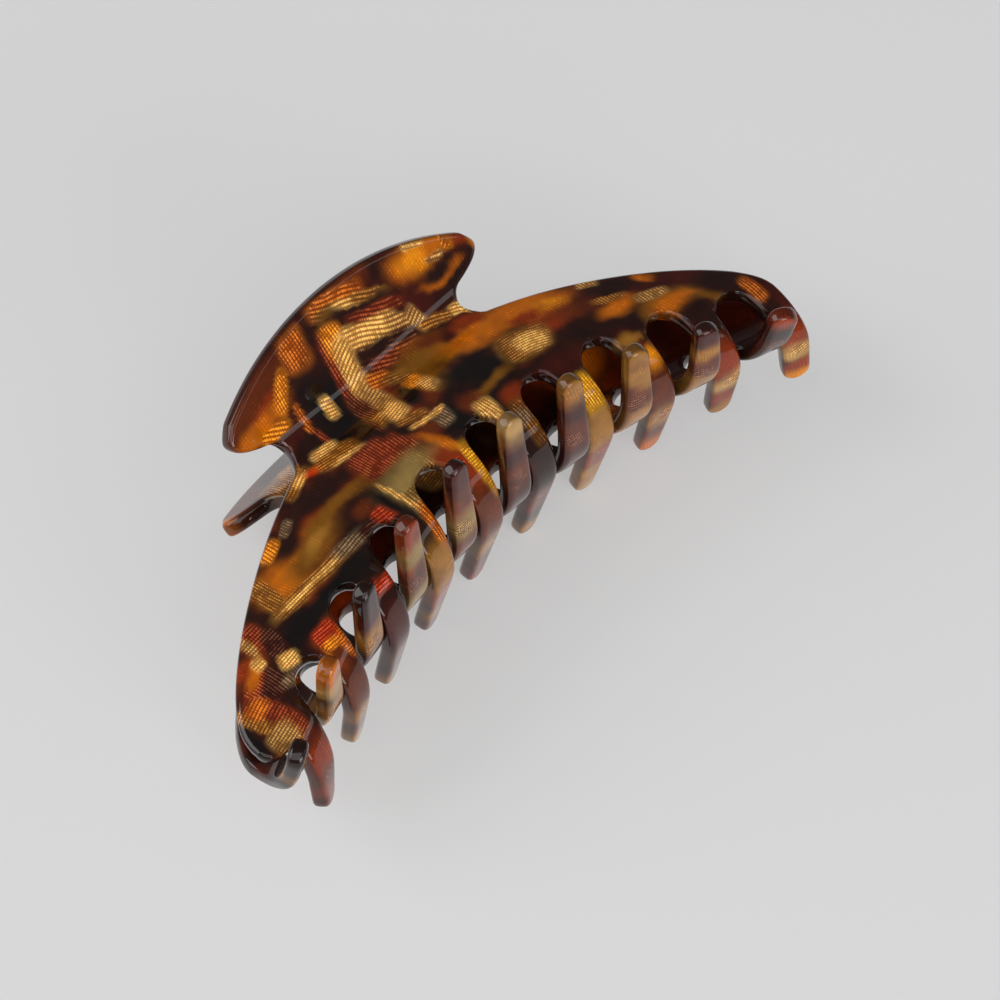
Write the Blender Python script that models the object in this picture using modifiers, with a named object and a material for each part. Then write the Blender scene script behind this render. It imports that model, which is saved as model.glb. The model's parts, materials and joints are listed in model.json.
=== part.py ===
"""Claw clip for hair: two acetate jaws, a stamped steel hinge and a torsion spring.

The clip's own frame: x runs along the hinge, y from the teeth to the thumb tabs and
z out of the plane where the two jaws meet. The hinge axis is the x axis. Each jaw is
a flat sheet, cut to an outline and bent across the clip, so a point of it is given by
x and by a distance u across the sheet, which is 0 at the hinge and grows towards the
teeth. The rear jaw is the front jaw turned half a turn about y.
The clip lies on its side: it stands on the front jaw's middle teeth and on the rear
jaw's thumb tab, with the origin under the middle of its box.
"""
import math

import bmesh
import bpy
import numpy as np
from mathutils import Matrix, Vector

MM = 0.001

# Jaw sheet and its outline (millimetres)
SHEET = 2.5             # thickness of the acetate
EDGE_ROUND = 0.6        # rounding of the tumbled edges
TOOTH_COUNT = 10
TOOTH_PITCH = 11.0
TOOTH_SHIFT = 2.75      # quarter pitch, so that the two jaws' teeth interleave
TOOTH_HALF_ROOT = 2.5
TOOTH_HALF_KNEE = 2.4
TOOTH_HALF_TIP = 1.7
GAP_RADIUS = 3.0        # round root of the gap between two teeth
HALF_LENGTH = 54.65
NECK_HALF = 17.7        # half the neck between the two notches
NOTCH_RADIUS = 2.4
END_TOP = 27.6          # u where the top edge reaches the end of the jaw
FAN_START = 44.0        # from here the columns of the sheet fan out to the round end
LOBE_START = 51.8       # x where the toothless corner starts to round
LOBE_LOW = 31.8
LOBE_SIDE = 29.0

# Thumb tab: a flat flared plate
TAB_SLOPE = 1.25
TAB_PLANE_Z = 5.7       # height where the tab's plane meets the hinge plane
TAB_REACH = 16.8        # along the plate, from the hinge to the top of its arc
TAB_ARC_RADIUS = 44.0
TAB_CORNER_X = 25.2
TAB_CORNER_U = -4.8
VALLEY_BLEND = 6.0      # height difference over which tab and body flow together

# Grid of the sheet
GAP_STEPS = 4
TOOTH_STEPS = 2
BODY_ROWS = 5
KNEE_ROWS = 4
STRAIGHT_ROWS = 2
TIP_ROWS = 2
TAB_ROWS = 5

# Hinge (millimetres)
LEAF = 0.8              # steel plate
LEAF_HALF_FRONT = 10.0  # outer faces of the front leaf's ears
LEAF_HALF_REAR = 8.8    # the rear leaf's ears sit inside them
LEAF_FRONT_EDGE = 4.6
LEAF_BACK_EDGE = -4.2
CLEARANCE = 0.3
PIN_RADIUS = 0.9
PIN_HEAD_RADIUS = 1.7
PIN_HEAD = 0.7
EAR_RADIUS = 2.2
TACK_X = 5.5
TACK_U = 3.4
TACK_RADIUS = 0.6
TACK_HEAD_RADIUS = 1.1
TACK_HEAD = 0.5
TACK_DEPTH = 1.3        # how far a tack reaches into the sheet
WIRE_RADIUS = 0.5
COIL_RADIUS = 2.2
COIL_TURNS = 8
COIL_PITCH = 1.35
COIL_STEPS = 12         # points for each turn
SPRING_LEG_U = -4.4


# ---------------------------------------------------------------- shape of a bent jaw

def share(x):
    """Squared distance from the middle of the row of teeth, 1 at 50 mm."""
    return ((x - TOOTH_SHIFT) / 50.0) ** 2


def knee_y(x):
    """How far the shoulder reaches towards the teeth."""
    return 25.2 + 10.3 * share(x)


def knee_z(x):
    return -1.3 - 4.2 * share(x)


def top_z(x):
    """Highest line of the body."""
    return 9.7 - 5.0 * (x / 50.0) ** 2


def tip_y(x):
    return 22.4 + 13.8 * share(x)


def tip_z(x):
    return -17.3 + 7.2 * share(x)


def shoulder_radius(x):
    return 11.0 - 0.5 * share(x)


def shoulder_start(x):
    """u where the body starts to turn down."""
    return knee_y(x) - shoulder_radius(x)


def shoulder_turn(x):
    """Lean of the teeth, and the angle the shoulder turns before they run straight."""
    lean = math.atan2(knee_y(x) - tip_y(x), knee_z(x) - tip_z(x))
    return lean, math.pi / 2 + lean


def knee_u(x):
    """u where the teeth run straight."""
    return shoulder_start(x) + shoulder_radius(x) * shoulder_turn(x)[1]


def body_fall(x):
    """How fast the body falls from its highest line towards the hinge."""
    return 0.010 + 0.011 * math.exp(-(x / 17.0) ** 2)


def outer_height(x, u):
    """Outer surface from the thumb tab to the body's highest line."""
    tab = TAB_PLANE_Z - TAB_SLOPE * u
    body = top_z(x) - body_fall(x) * (shoulder_start(x) - u) ** 2
    overlap = max(VALLEY_BLEND - abs(tab - body), 0.0)
    return max(tab, body) + overlap ** 2 / (4.0 * VALLEY_BLEND)


def sheet_point(x, u):
    """Point of the outer surface, in the clip's frame."""
    start = shoulder_start(x)
    if u <= start:
        return Vector((x, -u, outer_height(x, u)))
    radius_y = shoulder_radius(x)
    lean, turn = shoulder_turn(x)
    angle = min((u - start) / radius_y, turn)
    run = max(u - knee_u(x), 0.0)
    y = start + radius_y * math.sin(angle) - run * math.sin(lean)
    z = knee_z(x) + (top_z(x) - knee_z(x)) * math.cos(angle) - run * math.cos(lean)
    return Vector((x, -y, z))


def gap_apex(x):
    return 15.2 + 11.8 * share(x)


def tooth_end(x):
    """u of a tooth's tip."""
    lean, turn = shoulder_turn(x)
    z_after_turn = knee_z(x) + (top_z(x) - knee_z(x)) * math.cos(turn)
    return knee_u(x) + (z_after_turn - tip_z(x)) / math.cos(lean)


def bezier(points, t):
    """Point of a cubic curve."""
    a, b, c, d = (Vector(p) for p in points)
    s = 1.0 - t
    return a * s ** 3 + b * 3 * s * s * t + c * 3 * s * t * t + d * t ** 3


def free_edge(t):
    """Point of the body's free edge, t from the notch to the end."""
    return bezier(((NECK_HALF + NOTCH_RADIUS, NOTCH_RADIUS), (32.0, 6.6), (HALF_LENGTH, 20.0),
                   (HALF_LENGTH, END_TOP)), t)


def free_edge_share(side):
    """Where the free edge reaches a distance from the middle."""
    low, high = 0.0, 1.0
    for _ in range(40):
        middle = (low + high) / 2
        if free_edge(middle).x < side:
            low = middle
        else:
            high = middle
    return (low + high) / 2


def top_edge(x):
    """x and u of the free edge above a column; the right end's columns fan out."""
    side = abs(x)
    if side <= NECK_HALF:
        return x, 0.0
    notch_x = NECK_HALF + NOTCH_RADIUS
    if side < notch_x:
        return x, math.sqrt(NOTCH_RADIUS ** 2 - (side - notch_x) ** 2)
    if x <= FAN_START:
        return x, free_edge(free_edge_share(side)).y
    start = free_edge_share(FAN_START)
    fan = (x - FAN_START) / (HALF_LENGTH - FAN_START)
    point = free_edge(start + (1.0 - start) * fan)
    return point[0], point[1]


def low_edge(x):
    """u of the body's edge at the toothless corner."""
    reach = min(max((-x - LOBE_START) / (HALF_LENGTH - LOBE_START), 0.0), 1.0)
    return LOBE_SIDE + (LOBE_LOW - LOBE_SIDE) * math.sqrt(1.0 - reach ** 2)


def tab_outline(t):
    """Free edge of the tab, t from -1 at the left corner to 1 at the right one."""
    flat = math.hypot(1.0, TAB_SLOPE)
    x = t * TAB_CORNER_X
    arc = TAB_REACH - (TAB_ARC_RADIUS - math.sqrt(TAB_ARC_RADIUS ** 2 - x * x))
    u = -arc / flat
    corner = max(abs(t) - 0.93, 0.0) / 0.07
    return x, u + (TAB_CORNER_U - u) * corner ** 2


def tab_side(t):
    """Edge of the tab from the notch, t = 0, to its corner, t = 1; right-hand side."""
    if t < 0.4:
        angle = math.pi + t / 0.4 * math.pi / 2
        centre = NECK_HALF + NOTCH_RADIUS
        return centre + NOTCH_RADIUS * math.cos(angle), NOTCH_RADIUS * math.sin(angle)
    s = (t - 0.4) / 0.6
    start = Vector((NECK_HALF + NOTCH_RADIUS, -NOTCH_RADIUS))
    end = Vector((TAB_CORNER_X, TAB_CORNER_U))
    bend = Vector((TAB_CORNER_X - 0.1, TAB_CORNER_U + 1.3))
    edge = (start, start + (bend - start) * 0.6, bend, end)
    point = bezier(edge, s)
    return point.x, point.y


def tab_point(s, t):
    """Coons patch of the tab: s from 0 to 1 across, t from 0 at the neck to 1 at the arc."""
    side_x, side_u = tab_side(t)
    left = Vector((-side_x, side_u))
    right = Vector((side_x, side_u))
    low = Vector((NECK_HALF * (2 * s - 1), 0.0))
    high = Vector(tab_outline(2 * s - 1))
    corner = Vector((TAB_CORNER_X, TAB_CORNER_U))
    corner_left = Vector((-TAB_CORNER_X, TAB_CORNER_U))
    neck = Vector((NECK_HALF, 0.0))
    bilinear = ((-neck * (1 - s) + neck * s) * (1 - t) + (corner_left * (1 - s) + corner * s) * t)
    return left * (1 - s) + right * s + low * (1 - t) + high * t - bilinear


def tooth_half_width(u, root, end):
    """Half the width of a tooth at u, with a round end."""
    part = (u - root) / (end - root)
    knee_part = 0.45
    if part < knee_part:
        half = TOOTH_HALF_ROOT + (TOOTH_HALF_KNEE - TOOTH_HALF_ROOT) * part / knee_part
    else:
        fall = (part - knee_part) / (1 - knee_part)
        half = TOOTH_HALF_KNEE + (TOOTH_HALF_TIP - TOOTH_HALF_KNEE) * fall
    left = end - u
    if left < TOOTH_HALF_TIP:
        half *= math.sqrt(max(1.0 - (1.0 - left / TOOTH_HALF_TIP) ** 2, 0.0))
    return half


# ---------------------------------------------------------------- sheet as a grid

def jaw_columns():
    """Columns of the body: x and lower u, and for each tooth its first column."""
    columns = []
    for x in (-HALF_LENGTH, -53.4, -LOBE_START):
        columns.append((x, low_edge(x)))
    tooth_first = []
    for index in range(TOOTH_COUNT):
        centre = (index - (TOOTH_COUNT - 1) / 2) * TOOTH_PITCH + TOOTH_SHIFT
        tooth_first.append(len(columns))
        for step in range(TOOTH_STEPS + 1):
            x = centre + TOOTH_HALF_ROOT * (2 * step / TOOTH_STEPS - 1)
            x = min(x, HALF_LENGTH)
            root = gap_apex(centre) + GAP_RADIUS
            if index == 0:
                root = LOBE_LOW + (root - LOBE_LOW) * step / TOOTH_STEPS
            columns.append((x, root))
        if index < TOOTH_COUNT - 1:
            middle = centre + TOOTH_PITCH / 2
            for step in range(1, GAP_STEPS):
                angle = math.pi * step / GAP_STEPS
                x = middle - GAP_RADIUS * math.cos(angle)
                columns.append((x, gap_apex(middle) + GAP_RADIUS * (1 - math.sin(angle))))
    return columns, tooth_first


def snap_to_neck(columns):
    """Move the columns nearest to the notches onto them."""
    for side in (-NECK_HALF, NECK_HALF):
        nearest = min(range(len(columns)), key=lambda i: abs(columns[i][0] - side))
        columns[nearest] = (side, columns[nearest][1])
    return columns


def jaw_sheet():
    """Outer surface of a jaw as an open mesh."""
    columns, tooth_first = jaw_columns()
    columns = snap_to_neck(columns)
    mesh = bmesh.new()

    def vertex(x, u):
        return mesh.verts.new(sheet_point(x, u) * MM)

    body = []
    for x, low in columns:
        top_x, top_u = top_edge(x)
        body.append([vertex(top_x + (x - top_x) * row / BODY_ROWS,
                            top_u + (low - top_u) * row / BODY_ROWS)
                     for row in range(BODY_ROWS + 1)])
    for left, right in zip(body, body[1:]):
        for row in range(BODY_ROWS):
            mesh.faces.new((left[row], left[row + 1], right[row + 1], right[row]))

    neck = [i for i, (x, low) in enumerate(columns) if abs(x) <= NECK_HALF]
    previous = [body[i][0] for i in neck]
    for row in range(1, TAB_ROWS + 1):
        current = []
        for i in neck:
            s = (columns[i][0] + NECK_HALF) / (2 * NECK_HALF)
            point = tab_point(s, row / TAB_ROWS)
            current.append(vertex(point.x, point.y))
        for k in range(len(neck) - 1):
            mesh.faces.new((current[k], previous[k], previous[k + 1], current[k + 1]))
        previous = current

    for index, first in enumerate(tooth_first):
        add_tooth(mesh, vertex, [body[first + k][-1] for k in range(TOOTH_STEPS + 1)], index)
    return mesh


def tooth_levels(root, centre):
    """u of the rows of a tooth: round the knee, down the straight part, round the tip."""
    knee = knee_u(centre)
    end = tooth_end(centre)
    shoulder_tip = end - TOOTH_HALF_TIP
    levels = [root + (knee - root) * k / KNEE_ROWS for k in range(1, KNEE_ROWS + 1)]
    levels += [knee + (shoulder_tip - knee) * k / STRAIGHT_ROWS
               for k in range(1, STRAIGHT_ROWS + 1)]
    for k in range(1, TIP_ROWS + 1):
        angle = math.pi / 2 * k / (TIP_ROWS + 0.5)
        levels.append(shoulder_tip + TOOTH_HALF_TIP * math.sin(angle))
    return levels, end


def add_tooth(mesh, vertex, top_row, index):
    centre = (index - (TOOTH_COUNT - 1) / 2) * TOOTH_PITCH + TOOTH_SHIFT
    root = gap_apex(centre) + GAP_RADIUS
    levels, end = tooth_levels(root, centre)
    previous = top_row
    for u in levels:
        half = tooth_half_width(u, root, end)
        current = [vertex(min(centre + half * (2 * k / TOOTH_STEPS - 1), HALF_LENGTH), u)
                   for k in range(TOOTH_STEPS + 1)]
        for k in range(TOOTH_STEPS):
            mesh.faces.new((previous[k], current[k], current[k + 1], previous[k + 1]))
        previous = current
    tip = vertex(centre, end)
    for k in range(TOOTH_STEPS):
        mesh.faces.new((previous[k], tip, previous[k + 1]))


# ---------------------------------------------------------------- small helpers

def material(name, colour, roughness, metallic=0.0):
    result = bpy.data.materials.new(name)
    result.use_nodes = True
    shader = result.node_tree.nodes["Principled BSDF"]
    shader.inputs["Base Color"].default_value = (*colour, 1.0)
    shader.inputs["Roughness"].default_value = roughness
    shader.inputs["Metallic"].default_value = metallic
    return result


def object_from(bm, name, collection):
    mesh = bpy.data.meshes.new(name)
    bm.to_mesh(mesh)
    bm.free()
    result = bpy.data.objects.new(name, mesh)
    collection.objects.link(result)
    return result


def evaluated_mesh(source):
    """The object's mesh after its modifiers, as a new mesh."""
    graph = bpy.context.evaluated_depsgraph_get()
    graph.update()
    return bpy.data.meshes.new_from_object(source.evaluated_get(graph))


def apply_modifiers(target):
    mesh = evaluated_mesh(target)
    target.modifiers.clear()
    target.data = mesh


def solidify(target, thickness, offset):
    """Thicken an open surface and close it with a rim."""
    shell = target.modifiers.new("thickness", "SOLIDIFY")
    shell.thickness = thickness * MM
    shell.offset = offset
    shell.use_even_offset = True


def cylinder(radius, z_low, z_high, segments=16, place=Matrix()):
    """Closed cylinder along z, moved by a matrix; millimetres."""
    bm = bmesh.new()
    middle = Matrix.Translation((0, 0, (z_low + z_high) / 2))
    bmesh.ops.create_cone(bm, cap_ends=True, segments=segments, radius1=radius,
                          radius2=radius, depth=z_high - z_low, matrix=middle)
    bmesh.ops.transform(bm, matrix=Matrix.Scale(MM, 4) @ place, verts=bm.verts)
    return bm


def combine(target, other, operation):
    """Boolean with another object, which is then removed."""
    cut = target.modifiers.new(operation.lower(), "BOOLEAN")
    cut.operation = operation
    cut.solver = "EXACT"
    cut.object = other
    apply_modifiers(target)
    bpy.data.objects.remove(other)


def along_x():
    """Turns a shape made along z so that it lies along x."""
    return Matrix.Rotation(math.pi / 2, 4, "Y")


# ---------------------------------------------------------------- pieces

def inner_normal(x, u):
    """Unit normal pointing from the outer surface into the sheet."""
    step = 0.01
    across = sheet_point(x, u + step) - sheet_point(x, u - step)
    along = sheet_point(x + step, u) - sheet_point(x - step, u)
    return along.cross(across).normalized()


def tack_places():
    return [(side * TACK_X, TACK_U) for side in (-1, 1)]


def tack_matrix(x, u):
    """Frame of a tack: origin on the sheet's inner surface, z pointing into the sheet."""
    inward = inner_normal(x, u)
    origin = sheet_point(x, u) + inward * SHEET
    turn = (-inward).to_track_quat("Z", "X").to_matrix().to_4x4()
    return Matrix.Translation(origin) @ turn


def make_jaw(name, collection):
    jaw = object_from(jaw_sheet(), name, collection)
    solidify(jaw, SHEET, -1.0)
    edge = jaw.modifiers.new("rounded edges", "BEVEL")
    edge.width = EDGE_ROUND * MM
    edge.segments = 1
    edge.limit_method = "ANGLE"
    edge.angle_limit = math.radians(60)
    apply_modifiers(jaw)
    for x, u in tack_places():
        depth = TACK_DEPTH + CLEARANCE
        place = tack_matrix(x, u)
        pocket = object_from(cylinder(TACK_RADIUS + CLEARANCE, -2.0, depth, 12, place),
                             "pocket", collection)
        combine(jaw, pocket, "DIFFERENCE")
    jaw.data.shade_smooth()
    jaw.data.set_sharp_from_angle(angle=math.radians(40))
    return jaw


def leaf_plate(half, collection):
    """Steel plate pressed to the valley on the jaw's inner side."""
    bm = bmesh.new()
    columns, rows = 2, 8
    lift = SHEET + CLEARANCE
    grid = []
    for i in range(columns + 1):
        x = half * (2 * i / columns - 1)
        line = []
        for j in range(rows + 1):
            u = LEAF_BACK_EDGE + (LEAF_FRONT_EDGE - LEAF_BACK_EDGE) * j / rows
            point = sheet_point(0.0, u) + inner_normal(0.0, u) * lift
            point.x = x
            line.append(bm.verts.new(point * MM))
        grid.append(line)
    for left, right in zip(grid, grid[1:]):
        for j in range(rows):
            bm.faces.new((left[j], left[j + 1], right[j + 1], right[j]))
    plate = object_from(bm, "plate", collection)
    solidify(plate, LEAF, -1.0)
    apply_modifiers(plate)
    return plate


def leaf_ear(x_low, x_high, collection):
    """Lug from the plate down to the pin, with a round end about the axis."""
    neck = sheet_point(0.0, 0.0).z - SHEET - CLEARANCE - LEAF / 2
    place = Matrix.Translation((x_low, 0, 0)) @ along_x()
    ear = object_from(cylinder(EAR_RADIUS, 0.0, x_high - x_low, 24, place), "ear", collection)
    bm = bmesh.new()
    size = (x_high - x_low, 2 * EAR_RADIUS * 0.96, neck)
    middle = Matrix.Translation(((x_low + x_high) / 2, 0, neck / 2))
    bmesh.ops.create_cube(bm, size=1.0, matrix=middle @ Matrix.Diagonal((*size, 1)))
    bmesh.ops.transform(bm, matrix=Matrix.Scale(MM, 4), verts=bm.verts)
    combine(ear, object_from(bm, "web", collection), "UNION")
    return ear


def make_leaf(name, half, collection):
    """One leaf of the hinge: a plate, two ears and the holes for pin and tacks."""
    leaf = leaf_plate(half, collection)
    for x_low in (-half, half - LEAF):
        combine(leaf, leaf_ear(x_low, x_low + LEAF, collection), "UNION")
    hole = cylinder(PIN_RADIUS + CLEARANCE, -half - 2, half + 2, 16, along_x())
    combine(leaf, object_from(hole, "pin hole", collection), "DIFFERENCE")
    for x, u in tack_places():
        hole = cylinder(TACK_RADIUS + CLEARANCE, -3.0, 1.0, 12, tack_matrix(x, u))
        combine(leaf, object_from(hole, "tack hole", collection), "DIFFERENCE")
    leaf.name = name
    leaf.data.name = name
    return leaf


def make_tack(name, x, u, collection):
    """Blind tack: a head under the leaf and a shank that ends inside the sheet."""
    under_leaf = CLEARANCE + LEAF + CLEARANCE
    place = tack_matrix(x, u)
    head = cylinder(TACK_HEAD_RADIUS, -under_leaf - TACK_HEAD, -under_leaf, 12, place)
    tack = object_from(head, name, collection)
    shank = cylinder(TACK_RADIUS, -under_leaf - TACK_HEAD / 2, TACK_DEPTH, 12, place)
    combine(tack, object_from(shank, "shank", collection), "UNION")
    tack.data.shade_smooth()
    tack.data.set_sharp_from_angle(angle=math.radians(40))
    return tack


def make_pin(name, collection):
    """Hinge pin with a peened head at each end, turned from its profile."""
    reach = LEAF_HALF_FRONT + CLEARANCE
    outline = ((reach + PIN_HEAD, 0.0), (reach + PIN_HEAD, PIN_HEAD_RADIUS * 0.7),
               (reach + PIN_HEAD / 2, PIN_HEAD_RADIUS), (reach, PIN_HEAD_RADIUS),
               (reach, PIN_RADIUS), (-reach, PIN_RADIUS), (-reach, PIN_HEAD_RADIUS),
               (-reach - PIN_HEAD / 2, PIN_HEAD_RADIUS),
               (-reach - PIN_HEAD, PIN_HEAD_RADIUS * 0.7), (-reach - PIN_HEAD, 0.0))
    bm = bmesh.new()
    verts = [bm.verts.new((radius * MM, 0.0, z * MM)) for z, radius in outline]
    for first, second in zip(verts, verts[1:]):
        bm.edges.new((first, second))
    pin = object_from(bm, name, collection)
    turn = pin.modifiers.new("turned", "SCREW")
    turn.axis = "Z"
    turn.steps = 20
    turn.render_steps = 20
    turn.use_merge_vertices = True
    turn.merge_threshold = 0.00001
    apply_modifiers(pin)
    pin.data.transform(along_x())
    pin.data.shade_smooth()
    pin.data.set_sharp_from_angle(angle=math.radians(40))
    return pin


def spring_points():
    """Centre line of the torsion spring: a leg, the coil and the other leg."""
    half = COIL_TURNS * COIL_PITCH / 2
    leg_z = TAB_PLANE_Z - TAB_SLOPE * SPRING_LEG_U
    flat = math.hypot(1.0, TAB_SLOPE)
    leg_z -= (SHEET + CLEARANCE + LEAF + CLEARANCE + WIRE_RADIUS) * flat
    leg = Vector((0.0, -SPRING_LEG_U, leg_z))
    reach = math.hypot(leg.y, leg.z)
    tangent = math.atan2(leg.z, leg.y) + math.acos(COIL_RADIUS / reach)
    total = COIL_TURNS * 2 * math.pi + 2 * tangent
    count = round(total / (2 * math.pi) * COIL_STEPS)
    points = [Vector((-half, leg.y, leg.z))]
    for k in range(count + 1):
        angle = tangent - total * k / count
        x = -half + 2 * half * k / count
        points.append(Vector((x, COIL_RADIUS * math.cos(angle), COIL_RADIUS * math.sin(angle))))
    points.append(Vector((half, leg.y, -leg.z)))
    return points


def make_spring(name, collection):
    curve = bpy.data.curves.new(name, "CURVE")
    curve.dimensions = "3D"
    curve.bevel_depth = WIRE_RADIUS * MM
    curve.bevel_resolution = 2
    curve.use_fill_caps = True
    spline = curve.splines.new("POLY")
    points = spring_points()
    spline.points.add(len(points) - 1)
    for slot, point in zip(spline.points, points):
        slot.co = (*(point * MM), 1.0)
    spring = bpy.data.objects.new(name, curve)
    collection.objects.link(spring)
    return spring


# ---------------------------------------------------------------- assembly

def lay_down(frame, jaws):
    """Tilt and lift the clip until it stands on its teeth and on its rear tab."""
    cloud = []
    bpy.context.view_layer.update()
    for jaw in jaws:
        cloud += [jaw.matrix_world @ v.co for v in jaw.data.vertices]
    cloud = np.array(cloud)
    teeth = cloud[cloud[:, 1] < 0]
    tab = cloud[cloud[:, 1] > 0]
    tilt = 0.0
    for _ in range(20):
        sin, cos = math.sin(tilt), math.cos(tilt)
        front = teeth[np.argmin(teeth[:, 1] * sin + teeth[:, 2] * cos)]
        back = tab[np.argmin(tab[:, 1] * sin + tab[:, 2] * cos)]
        tilt = math.atan2(front[2] - back[2], back[1] - front[1])
    turned = cloud @ np.array(Matrix.Rotation(tilt, 3, "X")).T
    low, high = turned.min(axis=0), turned.max(axis=0)
    frame.rotation_euler = (tilt, 0.0, 0.0)
    frame.location = (-(low[0] + high[0]) / 2, -(low[1] + high[1]) / 2, -low[2])


def main():
    for old in list(bpy.data.objects):
        bpy.data.objects.remove(old)
    collection = bpy.data.collections.new("claw_clip")
    bpy.context.scene.collection.children.link(collection)

    frame = bpy.data.objects.new("clip_frame", None)
    front = bpy.data.objects.new("front_side", None)
    rear = bpy.data.objects.new("rear_side", None)
    for empty in (frame, front, rear):
        collection.objects.link(empty)
    front.parent = frame
    rear.parent = frame
    rear.rotation_euler = (0.0, math.pi, 0.0)

    acetate = material("tortoiseshell acetate", (0.10, 0.03, 0.01), 0.08)
    steel = material("stamped steel", (0.60, 0.58, 0.55), 0.30, 1.0)
    polished = material("polished steel", (0.75, 0.74, 0.72), 0.18, 1.0)
    wire = material("spring wire", (0.45, 0.44, 0.43), 0.25, 1.0)

    pieces = []

    def place(piece, parent, finish):
        piece.parent = parent
        piece.data.materials.clear()
        piece.data.materials.append(finish)
        pieces.append(piece)
        return piece

    jaws = []
    for side, parent, half in (("front", front, LEAF_HALF_FRONT), ("rear", rear, LEAF_HALF_REAR)):
        jaws.append(place(make_jaw(side + "_jaw", collection), parent, acetate))
        place(make_leaf(side + "_hinge_leaf", half, collection), parent, steel)
        for (x, u), hand in zip(tack_places(), ("left", "right")):
            name = side + "_" + hand + "_tack"
            place(make_tack(name, x, u, collection), parent, polished)
    place(make_pin("hinge_pin", collection), frame, polished)
    place(make_spring("torsion_spring", collection), frame, wire)
    lay_down(frame, jaws)


main()
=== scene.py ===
"""Looks of a tortoiseshell claw clip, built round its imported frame.

The jaws are rebuilt finely in the clip's own frame: x along the hinge, y from the
teeth to the thumb tabs and z out of the plane where the jaws meet. A point of a jaw's
sheet is given by x and by u, the distance across the sheet from the hinge towards
the teeth, both in millimetres. The acetate's pattern is laid out in the same flat
sheet, so it bends with the jaw.
"""
import json
import math

import bmesh
import bpy
import numpy as np
from mathutils import Matrix, Vector, noise


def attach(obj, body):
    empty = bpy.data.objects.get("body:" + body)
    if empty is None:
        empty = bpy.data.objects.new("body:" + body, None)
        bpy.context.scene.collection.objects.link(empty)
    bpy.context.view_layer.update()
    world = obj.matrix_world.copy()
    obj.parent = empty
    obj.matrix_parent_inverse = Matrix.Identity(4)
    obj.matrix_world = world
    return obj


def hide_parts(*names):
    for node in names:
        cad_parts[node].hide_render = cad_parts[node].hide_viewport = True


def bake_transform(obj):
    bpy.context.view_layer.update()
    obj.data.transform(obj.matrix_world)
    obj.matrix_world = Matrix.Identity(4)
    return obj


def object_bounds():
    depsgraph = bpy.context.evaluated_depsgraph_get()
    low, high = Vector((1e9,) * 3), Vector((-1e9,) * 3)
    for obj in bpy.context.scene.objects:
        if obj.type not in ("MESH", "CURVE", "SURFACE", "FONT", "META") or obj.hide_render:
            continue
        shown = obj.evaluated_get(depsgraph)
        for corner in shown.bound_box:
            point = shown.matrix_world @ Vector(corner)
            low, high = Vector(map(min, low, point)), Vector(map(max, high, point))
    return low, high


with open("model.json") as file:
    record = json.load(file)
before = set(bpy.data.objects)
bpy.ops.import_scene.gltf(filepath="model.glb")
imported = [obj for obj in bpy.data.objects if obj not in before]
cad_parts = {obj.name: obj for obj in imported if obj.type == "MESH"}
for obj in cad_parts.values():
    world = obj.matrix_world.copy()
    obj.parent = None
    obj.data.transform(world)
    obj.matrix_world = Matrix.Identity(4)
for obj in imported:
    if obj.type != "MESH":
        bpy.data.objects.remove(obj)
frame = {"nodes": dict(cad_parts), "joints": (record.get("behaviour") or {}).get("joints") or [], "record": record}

cad_low, cad_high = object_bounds()
MM = 0.001

# Jaw sheet and its outline, millimetres
SHEET = 2.5
RIM = 0.75              # radius of the polished edges
TOOTH_COUNT = 10
TOOTH_PITCH = 11.0
TOOTH_SHIFT = 2.75
TOOTH_HALF_ROOT = 2.5
TOOTH_HALF_KNEE = 2.4
TOOTH_HALF_TIP = 1.7
TOOTH_KNEE_PART = 0.45  # share of its length before the taper quickens
GAP_RADIUS = 3.0
HALF_LENGTH = 54.65
NECK_HALF = 17.7
NOTCH_RADIUS = 2.4
END_TOP = 27.6
FAN_START = 44.0        # from here the columns of the sheet fan out to the round end
LOBE_START = 51.8
END_COLUMNS = (54.4, 53.8, 52.9)    # closer columns round the toothless end
LAST_COLUMN = 50.5      # the last one before the first tooth
LOBE_LOW = 31.8
LOBE_SIDE = 29.0
TAB_SLOPE = 1.25
TAB_PLANE_Z = 5.7
TAB_REACH = 16.8
TAB_ARC_RADIUS = 44.0
TAB_CORNER_X = 25.2
TAB_CORNER_U = -4.8
TAB_CORNER_FROM = 0.93  # share of the tab's half width where its corner starts to round
NOTCH_PART = 0.4        # share of the tab's side that is the notch
VALLEY_BLEND = 6.0

# Fine grid of a jaw
GAP_STEPS = 8
TOOTH_STEPS = 4
BODY_ROWS = 22
KNEE_ROWS = 8
STRAIGHT_ROWS = 4
TIP_ROWS = 4
TAB_ROWS = 14
RIM_RINGS = 3
MITRE_LIMIT = 1.25      # how far a sharp corner of the rim may reach out
RELAX_ROUNDS = 12

# Spring and hinge, millimetres
WIRE_RADIUS = 0.5
COIL_RADIUS = 2.2
COIL_TURNS = 8
COIL_PITCH = 1.35
COIL_STEPS = 24
LEG_STEPS = 6
SPRING_LEG_U = -4.4
HINGE_STACK = 4.4       # sheet, leaf, gaps and the wire's radius
EDGE_BREAK = 0.1

# Camera: angles, shifts and distance in millimetres from the clip's hinge, and the lens
CAMERA_ELEVATION = math.radians(53.66)
CAMERA_TURN = math.radians(47.76)
CAMERA_TILT = math.radians(3.97)
CAMERA_RIGHT = 17.51
CAMERA_DOWN = 13.09
CAMERA_DISTANCE = 641.6
CAMERA_LENS = 162.0
CAMERA_SENSOR = 36.0

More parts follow.
